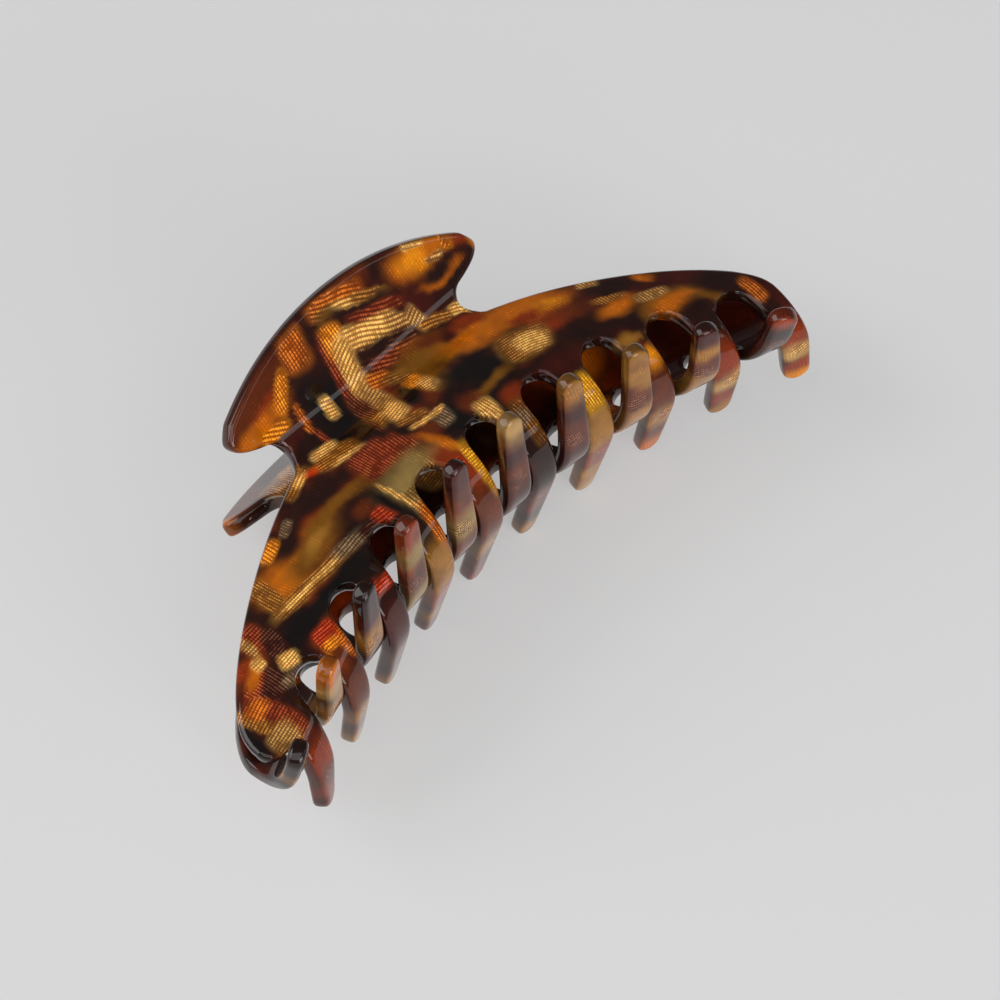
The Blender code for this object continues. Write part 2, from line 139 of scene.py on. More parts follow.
# Soft boxes: name, direction from the clip, distance and size in metres, watts
LIGHTS = (
    ("key", (-0.75, 0.55, 0.62), 1.5, (1.3, 1.3), 13.0),
    ("front", (-0.74, -0.67, 1.10), 1.5, (1.6, 1.1), 7.0),
    ("low", (-0.25, -1.00, 0.36), 1.2, (0.7, 0.5), 4.5),
    ("strip", (0.50, -0.78, 0.46), 1.2, (0.9, 0.16), 0.55),
)
WORLD_COLOUR = (0.95, 0.97, 1.0, 1.0)
WORLD_STRENGTH = 0.11

# Floor: half its side and its depth under the clip in metres, and its finish
FLOOR_REACH = 3.0
FLOOR_DROP = 0.0001
FLOOR_GREYS = ((0.42, 0.42, 0.42, 1.0), (0.45, 0.45, 0.45, 1.0))
FLOOR_GLOW = 0.38


# ---------------------------------------------------------------- the clip's frame

def clip_frame():
    """World matrix of the clip's own frame: at the hinge, tilted as the clip lies."""
    record = frame["record"]
    hinge = Vector(frame["joints"][0]["pos_m"])
    presses = [Vector(m["axis"]) for m in record["mounts"] if m["name"].endswith("thumb_tab")]
    towards_teeth = sum(presses, Vector())
    tilt = math.atan2(-towards_teeth.z, -towards_teeth.y)
    return Matrix.Translation(hinge) @ Matrix.Rotation(tilt, 4, "X")


CLIP = clip_frame()
HALF_TURN = Matrix.Rotation(math.pi, 4, "Y")


# ---------------------------------------------------------------- shape of a bent jaw

def share(x):
    return ((x - TOOTH_SHIFT) / 50.0) ** 2


def knee_y(x):
    return 25.2 + 10.3 * share(x)


def knee_z(x):
    return -1.3 - 4.2 * share(x)


def top_z(x):
    return 9.7 - 5.0 * (x / 50.0) ** 2


def tip_y(x):
    return 22.4 + 13.8 * share(x)


def tip_z(x):
    return -17.3 + 7.2 * share(x)


def shoulder_radius(x):
    return 11.0 - 0.5 * share(x)


def shoulder_start(x):
    """u where the body starts to turn down."""
    return knee_y(x) - shoulder_radius(x)


def shoulder_turn(x):
    """Lean of the teeth, and the angle the shoulder turns before they run straight."""
    lean = np.arctan2(knee_y(x) - tip_y(x), knee_z(x) - tip_z(x))
    return lean, math.pi / 2 + lean


def knee_u(x):
    """u where the teeth run straight."""
    return shoulder_start(x) + shoulder_radius(x) * shoulder_turn(x)[1]


def body_fall(x):
    """How fast the body falls from its highest line towards the hinge."""
    return 0.010 + 0.011 * np.exp(-(x / 17.0) ** 2)


def outer_surface(x, u):
    """Points of the outer surface for arrays of x and u."""
    radius_y = shoulder_radius(x)
    radius_z = top_z(x) - knee_z(x)
    start = shoulder_start(x)
    lean, turn = shoulder_turn(x)
    tab = TAB_PLANE_Z - TAB_SLOPE * u
    body = top_z(x) - body_fall(x) * (start - u) ** 2
    overlap = np.maximum(VALLEY_BLEND - np.abs(tab - body), 0.0)
    height = np.maximum(tab, body) + overlap ** 2 / (4.0 * VALLEY_BLEND)
    angle = np.clip((u - start) / radius_y, 0.0, turn)
    run = np.maximum(u - start - radius_y * turn, 0.0)
    bent_y = start + radius_y * np.sin(angle) - run * np.sin(lean)
    bent_z = knee_z(x) + radius_z * np.cos(angle) - run * np.cos(lean)
    flat = u <= start
    return np.stack([x, -np.where(flat, u, bent_y), np.where(flat, height, bent_z)], axis=1)


def surface_and_normal(x, u):
    """Outer surface and its unit normal into the sheet."""
    step = 0.02
    across = outer_surface(x, u + step) - outer_surface(x, u - step)
    along = outer_surface(x + step, u) - outer_surface(x - step, u)
    normal = np.cross(along, across)
    return outer_surface(x, u), normal / np.linalg.norm(normal, axis=1)[:, None]


def stretch(x, u):
    """Length on the surface for one step of u."""
    step = 0.02
    run = outer_surface(x, u + step) - outer_surface(x, u - step)
    return np.linalg.norm(run, axis=1) / (2 * step)


def gap_apex(x):
    """u where the gap between two teeth is deepest."""
    return 15.2 + 11.8 * share(x)


def tooth_end(x):
    """u of a tooth's tip: past the knee it runs straight down to the tip's height."""
    lean, turn = shoulder_turn(x)
    knee_height = knee_z(x) + (top_z(x) - knee_z(x)) * math.cos(turn)
    return knee_u(x) + (knee_height - tip_z(x)) / math.cos(lean)


def bezier(points, t):
    a, b, c, d = (np.array(p) for p in points)
    s = 1.0 - t
    return a * s ** 3 + b * 3 * s * s * t + c * 3 * s * t * t + d * t ** 3


def free_edge(t):
    """Point of the body's free edge, t from the notch to the end."""
    return bezier(((NECK_HALF + NOTCH_RADIUS, NOTCH_RADIUS), (32.0, 6.6), (HALF_LENGTH, 20.0),
                   (HALF_LENGTH, END_TOP)), t)


def free_edge_share(side):
    """Where the free edge reaches a distance from the middle."""
    low, high = 0.0, 1.0
    for _ in range(30):
        middle = (low + high) / 2
        if free_edge(middle)[0] < side:
            low = middle
        else:
            high = middle
    return (low + high) / 2


def top_edge(x):
    """x and u of the free edge above a column; the right end's columns fan out."""
    side = abs(x)
    if side <= NECK_HALF:
        return x, 0.0
    notch_x = NECK_HALF + NOTCH_RADIUS
    if side < notch_x:
        return x, math.sqrt(NOTCH_RADIUS ** 2 - (side - notch_x) ** 2)
    if x <= FAN_START:
        return x, free_edge(free_edge_share(side))[1]
    start = free_edge_share(FAN_START)
    fan = (x - FAN_START) / (HALF_LENGTH - FAN_START)
    point = free_edge(start + (1.0 - start) * fan)
    return point[0], point[1]


def low_edge(x):
    reach = min(max((-x - LOBE_START) / (HALF_LENGTH - LOBE_START), 0.0), 1.0)
    return LOBE_SIDE + (LOBE_LOW - LOBE_SIDE) * math.sqrt(1.0 - reach ** 2)


def tab_outline(t):
    flat = math.hypot(1.0, TAB_SLOPE)
    x = t * TAB_CORNER_X
    arc = TAB_REACH - (TAB_ARC_RADIUS - math.sqrt(TAB_ARC_RADIUS ** 2 - x * x))
    u = -arc / flat
    corner = max(abs(t) - TAB_CORNER_FROM, 0.0) / (1.0 - TAB_CORNER_FROM)
    return x, u + (TAB_CORNER_U - u) * corner ** 2


def tab_side(t):
    """Edge of the tab from the notch to its corner, right-hand side."""
    centre = NECK_HALF + NOTCH_RADIUS
    if t < NOTCH_PART:
        angle = math.pi + t / NOTCH_PART * math.pi / 2
        return centre + NOTCH_RADIUS * math.cos(angle), NOTCH_RADIUS * math.sin(angle)
    start = np.array((centre, -NOTCH_RADIUS))
    end = np.array((TAB_CORNER_X, TAB_CORNER_U))
    bend = np.array((TAB_CORNER_X - 0.1, TAB_CORNER_U + 1.3))
    past = (t - NOTCH_PART) / (1.0 - NOTCH_PART)
    point = bezier((start, start + (bend - start) * 0.6, bend, end), past)
    return point[0], point[1]


def tab_point(s, t):
    """Coons patch of the tab: s across, t from the neck to the arc."""
    side_x, side_u = tab_side(t)
    left = np.array((-side_x, side_u))
    right = np.array((side_x, side_u))
    low = np.array((NECK_HALF * (2 * s - 1), 0.0))
    high = np.array(tab_outline(2 * s - 1))
    corner = np.array((TAB_CORNER_X, TAB_CORNER_U))
    corner_left = np.array((-TAB_CORNER_X, TAB_CORNER_U))
    neck = np.array((NECK_HALF, 0.0))
    bilinear = (-neck * (1 - s) + neck * s) * (1 - t) + (corner_left * (1 - s) + corner * s) * t
    return left * (1 - s) + right * s + low * (1 - t) + high * t - bilinear


def tooth_half_width(u, root, end):
    part = (u - root) / (end - root)
    if part < TOOTH_KNEE_PART:
        half = TOOTH_HALF_ROOT + (TOOTH_HALF_KNEE - TOOTH_HALF_ROOT) * part / TOOTH_KNEE_PART
    else:
        fall = (part - TOOTH_KNEE_PART) / (1 - TOOTH_KNEE_PART)
        half = TOOTH_HALF_KNEE + (TOOTH_HALF_TIP - TOOTH_HALF_KNEE) * fall
    left = end - u
    if left < TOOTH_HALF_TIP:
        half *= math.sqrt(max(1.0 - (1.0 - left / TOOTH_HALF_TIP) ** 2, 0.0))
    return half


def tooth_centre(index):
    return (index - (TOOTH_COUNT - 1) / 2) * TOOTH_PITCH + TOOTH_SHIFT


# ---------------------------------------------------------------- fine jaw mesh

def jaw_columns():
    """Columns of the body, x and lower u, and each tooth's first column."""
    columns = [(-side, low_edge(-side))
               for side in (HALF_LENGTH, *END_COLUMNS, LOBE_START, LAST_COLUMN)]
    tooth_first = []
    for index in range(TOOTH_COUNT):
        centre = tooth_centre(index)
        tooth_first.append(len(columns))
        for step in range(TOOTH_STEPS + 1):
            x = min(centre + TOOTH_HALF_ROOT * (2 * step / TOOTH_STEPS - 1), HALF_LENGTH)
            root = gap_apex(centre) + GAP_RADIUS
            if index == 0:
                root = LOBE_LOW + (root - LOBE_LOW) * step / TOOTH_STEPS
            columns.append((x, root))
        if index < TOOTH_COUNT - 1:
            middle = centre + TOOTH_PITCH / 2
            for step in range(1, GAP_STEPS):
                angle = math.pi * step / GAP_STEPS
                x = middle - GAP_RADIUS * math.cos(angle)
                columns.append((x, gap_apex(middle) + GAP_RADIUS * (1 - math.sin(angle))))
    for side in (-NECK_HALF, NECK_HALF):
        nearest = min(range(len(columns)), key=lambda i: abs(columns[i][0] - side))
        columns[nearest] = (side, columns[nearest][1])
    return columns, tooth_first


def flat_jaw():
    """The jaw's outline as a flat grid; x and u in place of x and y."""
    columns, tooth_first = jaw_columns()
    mesh = bmesh.new()

    def vertex(x, u):
        return mesh.verts.new((x, u, 0.0))

    body = []
    for x, low in columns:
        top_x, top_u = top_edge(x)
        body.append([vertex(top_x + (x - top_x) * row / BODY_ROWS,
                            top_u + (low - top_u) * row / BODY_ROWS)
                     for row in range(BODY_ROWS + 1)])
    for left, right in zip(body, body[1:]):
        for row in range(BODY_ROWS):
            mesh.faces.new((left[row], left[row + 1], right[row + 1], right[row]))

    neck = [i for i, (x, low) in enumerate(columns) if abs(x) <= NECK_HALF]
    previous = [body[i][0] for i in neck]
    for row in range(1, TAB_ROWS + 1):
        current = []
        for i in neck:
            s = (columns[i][0] + NECK_HALF) / (2 * NECK_HALF)
            current.append(vertex(*tab_point(s, row / TAB_ROWS)))
        for k in range(len(neck) - 1):
            mesh.faces.new((current[k], previous[k], previous[k + 1], current[k + 1]))
        previous = current

    for index, first in enumerate(tooth_first):
        add_tooth(mesh, vertex, [body[first + k][-1] for k in range(TOOTH_STEPS + 1)], index)
    return mesh


def add_tooth(mesh, vertex, previous, index):
    """Rows of a tooth from its root to its rounded tip, below the row it grows from."""
    centre = tooth_centre(index)
    root = gap_apex(centre) + GAP_RADIUS
    knee = knee_u(centre)
    end = tooth_end(centre)
    tip_start = end - TOOTH_HALF_TIP
    levels = [root + (knee - root) * k / KNEE_ROWS for k in range(1, KNEE_ROWS + 1)]
    levels += [knee + (tip_start - knee) * k / STRAIGHT_ROWS
               for k in range(1, STRAIGHT_ROWS + 1)]
    levels += [tip_start + TOOTH_HALF_TIP * math.sin(math.pi / 2 * k / (TIP_ROWS + 0.5))
               for k in range(1, TIP_ROWS + 1)]
    for u in levels:
        half = tooth_half_width(u, root, end)
        current = [vertex(min(centre + half * (2 * k / TOOTH_STEPS - 1), HALF_LENGTH), u)
                   for k in range(TOOTH_STEPS + 1)]
        for k in range(TOOTH_STEPS):
            mesh.faces.new((previous[k], current[k], current[k + 1], previous[k + 1]))
        previous = current
    tip = vertex(centre, end)
    for k in range(TOOTH_STEPS):
        mesh.faces.new((previous[k], tip, previous[k + 1]))


def outward_offsets(mesh):
    """Flat outward step of length 1 on the bent sheet, for each vertex of the rim."""
    steps = {}
    for edge in mesh.edges:
        if not edge.is_boundary:
            continue
        first, second = edge.verts
        middle = (first.co + second.co) / 2
        gain = float(stretch(np.array([middle.x]), np.array([middle.y]))[0])
        run = Vector((second.co.x - first.co.x, (second.co.y - first.co.y) * gain))
        normal = Vector((run.y, -run.x)).normalized()
        inside = edge.link_faces[0].calc_center_median() - middle
        if normal.x * inside.x + normal.y * inside.y > 0:
            normal = -normal
        for vert in edge.verts:
            steps.setdefault(vert, []).append((normal, gain))
    result = {}
    for vert, found in steps.items():
        total = sum((normal for normal, gain in found), Vector((0.0, 0.0)))
        gain = sum(gain for normal, gain in found) / len(found)
        mitre = min(2.0 / max(total.length, 1.0), MITRE_LIMIT)
        direction = total.normalized() * mitre
        result[vert] = Vector((direction.x, direction.y / gain, 0.0))
    return result


def rim_loop(mesh):
    """The rim's vertices in order, with the sheet on the left."""
    following = {}
    for edge in mesh.edges:
        if edge.is_boundary:
            loop = edge.link_loops[0]
            following[loop.vert] = loop.link_loop_next.vert
    start = next(iter(following))
    ring = [start]
    while following[ring[-1]] is not start:
        ring.append(following[ring[-1]])
    return ring


def relax(mesh, rounds):
    """Spread the inner vertices evenly, with the rim held."""
    inner = [v for v in mesh.verts if not v.is_boundary]
    for _ in range(rounds):
        moved = []
        for v in inner:
            total = Vector()
            for edge in v.link_edges:
                total += edge.other_vert(v).co
            moved.append(v.co.lerp(total / len(v.link_edges), 0.5))
        for v, place in zip(inner, moved):
            v.co = place


def closed_sheet():
    """Closed sheet with round edges: x and u, depth, closeness to the rim, and faces."""
    flat = flat_jaw()
    outward = outward_offsets(flat)
    ring = rim_loop(flat)
    full = [v.co.copy() for v in ring]
    for v in ring:
        v.co -= outward[v] * RIM
    relax(flat, RELAX_ROUNDS)
    flat.verts.index_update()

    inner = np.array([v.co[:2] for v in flat.verts])
    rim_inner = np.array([v.co[:2] for v in ring])
    rim_full = np.array([p[:2] for p in full])
    ring_index = [v.index for v in ring]
    faces_flat = [[v.index for v in f.verts] for f in flat.faces]
    flat.free()

    points = []
    depths = []
    edges = []

    def add(places, depth, edge):
        first = sum(len(p) for p in points)
        points.append(places)
        depths.append(np.full(len(places), depth))
        edges.append(np.full(len(places), edge))
        return first

    faces = []
    top = add(inner, 0.0, 0.0)
    bottom = add(inner, SHEET, 0.0)
    faces += [[top + i for i in f] for f in faces_flat]
    faces += [[bottom + i for i in reversed(f)] for f in faces_flat]
    loops = [[top + i for i in ring_index]]
    steps = list(range(1, RIM_RINGS + 1))
    for k, below in [(k, False) for k in steps] + [(k, True) for k in reversed(steps)]:
        angle = math.pi / 2 * k / RIM_RINGS
        places = rim_inner + (rim_full - rim_inner) * math.sin(angle)
        depth = RIM * (1 - math.cos(angle))
        first = add(places, SHEET - depth if below else depth, math.sin(angle))
        loops.append([first + i for i in range(len(ring))])
    loops.append([bottom + i for i in ring_index])
    count = len(ring)
    for upper, lower in zip(loops, loops[1:]):
        for i in range(count):
            j = (i + 1) % count
            faces.append([upper[j], upper[i], lower[i], lower[j]])

    return np.concatenate(points), np.concatenate(depths), np.concatenate(edges), faces


def fine_jaw(name, patches):
    """Jaw bent from the closed sheet and painted in the flat sheet's coordinates."""
    places, depth, edge, faces = closed_sheet()
    surface, normal = surface_and_normal(places[:, 0], places[:, 1])
    solid = surface + normal * depth[:, None]
    mesh = bpy.data.meshes.new(name)
    mesh.from_pydata((solid * MM).tolist(), [], faces)
    sheet = mesh.attributes.new("sheet", "FLOAT_VECTOR", "POINT")
    sheet.data.foreach_set("vector", np.column_stack([places, depth]).ravel())
    rim = mesh.attributes.new("rim", "FLOAT", "POINT")
    rim.data.foreach_set("value", edge)
    jaw = bpy.data.objects.new(name, mesh)
    bpy.context.scene.collection.objects.link(jaw)
    smooth = jaw.modifiers.new("fine", "SUBSURF")
    smooth.levels = 1
    smooth.render_levels = 1
    apply_modifiers(jaw)
    outward_faces(jaw.data)
    jaw.data.shade_smooth()
    paint_sheet(jaw.data, patches)
    return jaw


def outward_faces(mesh):
    bm = bmesh.new()
    bm.from_mesh(mesh)
    if bm.calc_volume(signed=True) < 0:
        bmesh.ops.reverse_faces(bm, faces=bm.faces[:])
    bm.to_mesh(mesh)
    bm.free()


def apply_modifiers(target):
    graph = bpy.context.evaluated_depsgraph_get()
    graph.update()
    mesh = bpy.data.meshes.new_from_object(target.evaluated_get(graph))
    target.modifiers.clear()
    target.data = mesh


# ---------------------------------------------------------------- pattern of the acetate

# Tones of the acetate as 8-bit sRGB, and how much brighter they are under the gloss
BRIGHTEN = 1.45
TONES = {
    "black": (16, 10, 8),
    "dark": (34, 12, 6),
    "wine": (60, 15, 6),
    "brown": (90, 36, 8),
    "rust": (126, 44, 8),
    "red": (176, 50, 8),
    "amber": (184, 96, 6),
    "orange": (218, 132, 12),
    "yellow": (238, 176, 34),
    "olive": (116, 72, 12),
    "ochre": (146, 98, 32),
    "khaki": (136, 110, 60),
    "tan": (172, 132, 74),
    "grey": (112, 94, 74),
    "straw": (226, 178, 98),
}

# Woven layers: directions of their threads in the sheet in degrees, and millimetres
# from thread to thread and from knot to knot
WEAVES = {"level": 0.0, "long": 14.0, "slant": -16.0, "cross": 84.0}
THREAD_PITCH = 0.48
KNOT_PITCH = 0.38

# Edge of a patch, plain and woven: how square it is, how soft, and how far it wanders
PLAIN_EDGE = (2.2, 0.60, 1.0)
WOVEN_EDGE = (4.0, 0.30, 0.35)
BAND_HALF = 3.4         # half length of a band across a tooth, past both its edges

# Patches of the front jaw's sheet, laid over each other in this order: x, u, half
# length, half width, turn in degrees, tone, and the weave where the patch has one.
FRONT_PATCHES = [
    # thumb tab, left wing
    (0.0, -6.0, 27.0, 6.0, 0, "wine", None),
    (-19.0, -6.4, 7.0, 1.7, -14, "brown", None),
    (-17.0, -5.4, 3.6, 0.7, -14, "rust", None),
    (-19.4, -3.9, 6.0, 0.9, -6, "amber", None),
    (-17.9, -2.9, 2.4, 0.6, 0, "orange", "long"),
    (-11.8, -7.8, 3.0, 1.4, 0, "brown", None),
    (-9.2, -7.7, 2.3, 1.9, 0, "amber", "cross"),
    (-9.0, -2.4, 4.2, 3.5, 0, "black", None),
    (-14.0, -5.6, 2.4, 0.8, -42, "orange", "cross"),
    (-13.2, -2.0, 0.5, 1.7, 0, "amber", "cross"),
    (-15.4, 0.6, 3.2, 1.1, 0, "dark", None),
    (-8.4, 3.2, 4.6, 4.0, 0, "black", None),
    (-12.7, 1.3, 0.4, 1.6, 0, "rust", "cross"),
    (-8.9, -1.2, 0.9, 1.6, 0, "straw", "long"),
    # thumb tab, middle and right wing
    (-5.0, -8.2, 2.2, 1.4, -20, "dark", None),
    (5.0, -9.6, 5.0, 0.9, 4, "brown", None),
    (0.0, -9.1, 4.6, 1.0, 5, "amber", "long"),
    (-1.8, -8.7, 2.4, 0.6, 6, "ochre", "long"),
    (1.8, -8.3, 2.6, 0.45, 9, "straw", "long"),
    (5.6, -7.4, 3.4, 0.5, 17, "ochre", "long"),
    (10.0, -8.4, 2.8, 1.3, 5, "dark", None),
    (18.4, -7.4, 3.6, 1.2, 16, "amber", None),
    (14.0, -7.1, 3.6, 1.9, 8, "amber", None),
    (14.4, -7.1, 2.4, 1.2, 8, "orange", None),
    (15.4, -8.5, 1.8, 0.4, 10, "straw", "long"),
    (20.8, -6.9, 0.9, 1.2, 12, "orange", "slant"),
    (23.6, -5.7, 2.8, 1.0, 16, "rust", None),
    (25.2, -4.9, 1.2, 0.8, 0, "orange", None),
    (3.4, -7.0, 7.0, 0.8, 12, "dark", None),
    (13.0, -3.7, 5.0, 1.6, 12, "wine", None),
    (19.6, -3.4, 4.6, 1.0, -12, "dark", None),
    (17.6, -4.2, 3.4, 0.5, 0, "amber", None),
    (17.2, -5.1, 2.7, 0.9, 4, "dark", None),
    (17.8, -6.2, 1.6, 0.3, 6, "tan", "long"),
    (5.2, -5.9, 4.4, 0.6, 12, "rust", "long"),
    # the bright crescent
    (-4.7, -3.0, 1.1, 4.2, 4, "rust", "cross"),
    (-5.4, 3.2, 1.3, 4.0, 4, "brown", "cross"),
    (-2.9, -6.0, 1.8, 1.7, 10, "orange", "cross"),
    (2.6, -4.7, 4.8, 1.2, 11, "straw", "long"),
    (7.8, -3.5, 1.9, 0.7, 15, "tan", "long"),
    (-2.6, -2.8, 1.8, 3.2, 4, "straw", "slant"),
    (-2.5, 2.2, 1.5, 2.6, 0, "tan", "slant"),
    (-4.4, 5.6, 1.6, 1.7, 0, "ochre", "slant"),
    (-2.8, 5.8, 1.8, 1.7, -8, "straw", "slant"),
    (10.4, -2.5, 1.1, 1.5, -30, "tan", "slant"),
    (13.0, -1.0, 2.8, 0.6, 12, "ochre", "long"),
    (16.8, -0.5, 1.2, 0.7, 0, "straw", "long"),
    (4.0, -2.0, 5.2, 1.4, 9, "wine", "long"),
    (2.4, -2.9, 3.2, 0.6, 4, "dark", None),
    (5.0, -0.9, 4.4, 0.8, 10, "rust", "long"),
    (0.0, 0.2, 1.7, 1.1, 12, "amber", "long"),
    (2.8, 1.5, 2.6, 1.0, 14, "ochre", "long"),
    # valley and the soft golden field right of it
    (8.0, 2.0, 5.0, 2.6, 12, "olive", None),
    (10.5, 0.6, 3.4, 0.9, 8, "brown", None),
    (12.0, 4.0, 6.0, 1.9, 12, "olive", None),
    (15.4, 4.8, 5.5, 2.2, 16, "amber", None),
    (22.2, 5.8, 6.0, 2.7, 22, "amber", None),
    (27.0, 8.6, 5.0, 2.5, 24, "amber", None),
    (26.8, 9.0, 2.6, 1.1, 20, "orange", None),
    (24.6, 11.4, 4.6, 1.7, 10, "rust", None),
    (12.8, 1.6, 1.5, 1.1, 0, "wine", None),
    (16.6, 1.9, 2.6, 1.2, 14, "rust", None),
    (21.6, 8.0, 1.8, 1.0, 20, "rust", None),
    (25.6, 5.1, 2.6, 0.45, 28, "rust", None),
    (0.4, 5.2, 1.6, 3.5, 0, "black", None),
    (5.6, 6.4, 1.7, 2.2, -18, "olive", None),
    (3.6, 5.2, 1.4, 3.0, -18, "ochre", "long"),
    (2.9, 3.6, 1.4, 1.0, 0, "orange", "long"),
    (3.9, 5.8, 1.1, 1.5, -10, "straw", "long"),
    (9.0, 8.7, 5.0, 2.8, 8, "black", None),
    (12.5, 11.2, 6.0, 2.0, 2, "black", None),
    (18.3, 11.2, 4.0, 2.5, 18, "ochre", "long"),
    (19.0, 11.6, 2.5, 1.8, 18, "straw", "long"),
    (8.2, 12.9, 4.8, 0.8, -5, "olive", None),
    (1.5, 14.4, 3.2, 3.2, 0, "black", None),
    (8.8, 15.8, 2.2, 2.2, 0, "black", None),
    (5.0, 13.4, 1.8, 1.8, 20, "brown", None),
    (5.7, 16.0, 1.5, 2.2, 4, "straw", "cross"),
    (15.0, 15.0, 6.5, 1.2, 4, "dark", None),
    (14.0, 17.4, 3.4, 1.6, 8, "wine", None),
    (19.0, 17.2, 4.4, 1.7, 8, "wine", None),
    (11.0, 16.4, 2.2, 1.3, 10, "rust", None),
    (10.8, 18.4, 0.9, 0.6, 0, "red", None),
    (26.6, 15.6, 6.0, 2.4, 8, "dark", None),
    # left of the crescent
    (-19.6, 7.6, 9.6, 1.8, 0, "dark", None),
    (-20.6, 4.0, 3.0, 0.9, -22, "ochre", "slant"),
    (-19.8, 3.9, 1.6, 0.6, -22, "straw", "slant"),
    (-17.4, 4.1, 1.4, 0.8, 0, "red", None),
    (-13.8, 4.8, 3.4, 1.3, 6, "ochre", "long"),
    (-14.2, 2.8, 2.2, 0.7, 6, "straw", "long"),
    (-12.8, 6.2, 2.6, 0.4, 8, "straw", "long"),
    (-11.4, 9.6, 3.4, 2.8, 0, "rust", "cross"),
    (-7.4, 10.6, 2.8, 2.2, 0, "rust", "cross"),
    (-4.7, 9.2, 0.9, 3.0, 0, "dark", None),
    (-2.4, 12.0, 1.8, 1.4, 0, "brown", None),
    (-2.4, 8.6, 2.2, 0.7, 14, "ochre", "long"),
    (0.4, 11.8, 1.3, 1.7, 8, "grey", "cross"),
    (-1.8, 10.3, 2.2, 0.4, 5, "straw", "long"),
    (0.6, 10.5, 1.2, 0.45, 0, "straw", "long"),
    (-2.8, 14.6, 3.2, 0.8, 56, "amber", None),
    (-33.4, 13.4, 4.4, 2.6, 0, "amber", None),
    (-27.4, 13.4, 6.0, 2.2, -10, "olive", None),
    (-26.0, 12.6, 3.4, 1.1, -22, "ochre", None),
    (-20.4, 10.6, 6.0, 1.1, -2, "olive", None),
    (-16.2, 11.8, 2.4, 1.0, 22, "olive", None),
    (-36.9, 13.6, 1.4, 3.3, 4, "ochre", "cross"),
    (-28.6, 9.6, 3.2, 1.3, -20, "dark", None),
    (-31.4, 8.9, 1.9, 0.9, -30, "orange", "cross"),
    (-27.4, 8.0, 1.4, 0.7, -28, "grey", "cross"),
    (-31.0, 17.1, 7.6, 1.1, 0, "ochre", "level"),
    (-31.0, 17.1, 6.6, 0.4, 0, "straw", "level"),
    (-23.0, 16.8, 3.6, 1.1, 0, "grey", "level"),
    (-18.4, 14.9, 4.2, 2.9, 0, "dark", None),
    (-18.3, 14.6, 1.8, 1.2, 0, "brown", None),
    (-19.6, 17.2, 2.2, 0.9, 0, "wine", "level"),
    (-16.5, 17.0, 1.9, 1.3, 0, "red", "level"),
    (-32.0, 20.4, 14.0, 1.8, -4, "black", None),
    (-41.2, 14.2, 2.3, 3.6, 24, "dark", None),
    (-9.6, 15.6, 4.8, 2.9, 2, "khaki", None),
    (-11.2, 19.2, 2.0, 2.6, -6, "khaki", "cross"),
    (-7.2, 16.3, 2.0, 0.7, 0, "tan", "cross"),
    (-14.8, 16.6, 0.9, 3.3, -12, "black", None),
    (-13.4, 16.6, 0.3, 3.5, -14, "straw", "cross"),
    (-4.6, 16.6, 1.9, 1.2, 0, "rust", None),
    (-4.2, 18.5, 1.7, 0.9, 0, "red", "long"),
    # left end
    (-43.0, 16.6, 1.9, 2.3, 4, "rust", "level"),
    (-44.1, 17.2, 0.6, 1.9, 6, "tan", "level"),
    (-41.5, 19.6, 1.4, 2.6, 10, "wine", "level"),
    (-46.5, 23.4, 2.6, 2.2, -10, "wine", "cross"),
    (-47.4, 21.4, 2.2, 1.1, -32, "rust", "cross"),
    (-46.6, 20.3, 2.2, 0.6, -34, "amber", None),
    (-45.0, 19.8, 0.8, 0.9, 0, "straw", "level"),
    (-41.9, 22.7, 1.4, 1.2, 20, "straw", "level"),
    (-42.6, 25.0, 2.4, 0.8, 4, "grey", "cross"),
    (-49.0, 27.2, 1.8, 4.8, -20, "rust", "slant"),
    (-51.1, 26.6, 1.0, 4.2, -20, "ochre", "slant"),
    (-49.8, 24.4, 1.6, 1.4, -16, "amber", "slant"),
    (-50.2, 30.0, 2.2, 1.9, -10, "tan", "slant"),
    (-53.7, 27.6, 1.2, 2.8, 0, "black", None),
    # right end
    (42.0, 18.0, 14.0, 5.5, 34, "wine", None),
    (30.0, 12.2, 4.6, 2.0, 18, "brown", None),
    (35.0, 12.6, 4.4, 1.9, 28, "dark", None),
    (33.2, 9.8, 1.5, 0.7, 30, "tan", "cross"),
    (33.4, 14.0, 2.6, 0.6, 20, "ochre", "cross"),
    (33.4, 18.4, 4.0, 1.6, 6, "dark", None),
    (33.0, 16.2, 3.0, 1.3, 6, "amber", None),
    (36.6, 19.6, 2.2, 1.1, 10, "olive", None),
    (44.6, 17.6, 5.4, 2.2, 38, "wine", None),
    (41.0, 20.5, 5.0, 1.9, 22, "olive", None),
    (40.6, 20.8, 3.6, 1.3, 20, "amber", None),
    (38.7, 17.6, 2.5, 0.8, 16, "tan", "cross"),
    (40.3, 14.1, 1.5, 0.9, 30, "amber", None),
    (45.0, 23.4, 2.8, 0.9, 28, "olive", None),
    (48.2, 21.8, 3.6, 2.5, 36, "dark", None),
    (51.3, 26.3, 1.1, 2.3, -8, "amber", "cross"),
    (53.7, 28.6, 0.9, 4.0, 0, "wine", None),
    # shoulder and roots of the teeth
    (-35.6, 24.0, 1.9, 1.7, 0, "red", "level"),
    (-36.0, 25.1, 1.4, 0.8, 0, "orange", "level"),
    (-33.9, 26.6, 0.9, 1.9, -10, "amber", "level"),
    (-24.4, 23.9, 2.7, 0.9, 0, "red", "level"),
    (-12.0, 23.4, 1.1, 4.0, 0, "amber", "cross"),
    (-0.9, 21.6, 1.0, 4.6, 0, "yellow", "level"),
    (9.5, 21.0, 1.3, 3.8, 0, "olive", "cross"),
    (8.8, 19.6, 1.4, 1.2, 0, "grey", "cross"),
